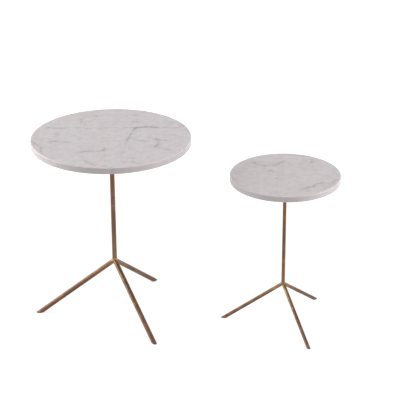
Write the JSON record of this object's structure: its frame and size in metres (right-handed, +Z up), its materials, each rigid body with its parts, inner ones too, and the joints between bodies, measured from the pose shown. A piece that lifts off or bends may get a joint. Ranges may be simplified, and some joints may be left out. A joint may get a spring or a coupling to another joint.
{
  "type": "nesting tables",
  "caption": "Round marble-topped side tables on slim brass tripod stands; the smaller slides under the larger to nest.",
  "frame": {"origin": "on the floor, at the middle of the pair's bounding box with the small table pulled out", "axes": "+X from the large table's column to the small one's, +Y to the side, +Z up"},
  "size_m": [0.781, 0.4, 0.49],
  "materials": {
    "marble": "honed pale grey marble with soft grey veins",
    "antique_brass": "steel with a satin antique brass plating",
    "insert_brass": "plain turned brass",
    "zinc_steel": "zinc plated",
    "pad_rubber": "closed-cell foam rubber",
    "glide_plastic": "moulded dark plastic"
  },
  "bodies": {
    "large_table": {"large_top_slab": "marble", "large_slab_inserts": "insert_brass", "large_plate_pad": "pad_rubber", "large_mounting_plate": "antique_brass", "large_plate_screws": "zinc_steel", "large_spring_washers": "zinc_steel", "large_plate_boss": "antique_brass", "large_column_stud": "zinc_steel", "large_column_tube": "antique_brass", "large_leg_hub": "antique_brass", "large_leg_back": "antique_brass", "large_leg_left": "antique_brass", "large_leg_front": "antique_brass", "large_glide_back": "glide_plastic", "large_glide_left": "glide_plastic", "large_glide_front": "glide_plastic"},
    "small_table": {"small_top_slab": "marble", "small_slab_inserts": "insert_brass", "small_plate_pad": "pad_rubber", "small_mounting_plate": "antique_brass", "small_plate_screws": "zinc_steel", "small_spring_washers": "zinc_steel", "small_plate_boss": "antique_brass", "small_column_stud": "zinc_steel", "small_column_tube": "antique_brass", "small_leg_hub": "antique_brass", "small_leg_back": "antique_brass", "small_leg_left": "antique_brass", "small_leg_front": "antique_brass", "small_glide_back": "glide_plastic", "small_glide_left": "glide_plastic", "small_glide_front": "glide_plastic"}
  },
  "joints": [
    {"name": "nest_slide", "type": "slide", "parent": "large_table", "child": "small_table", "axis": [-1, 0, 0], "range_m": [0, 0.283]}
  ]
}
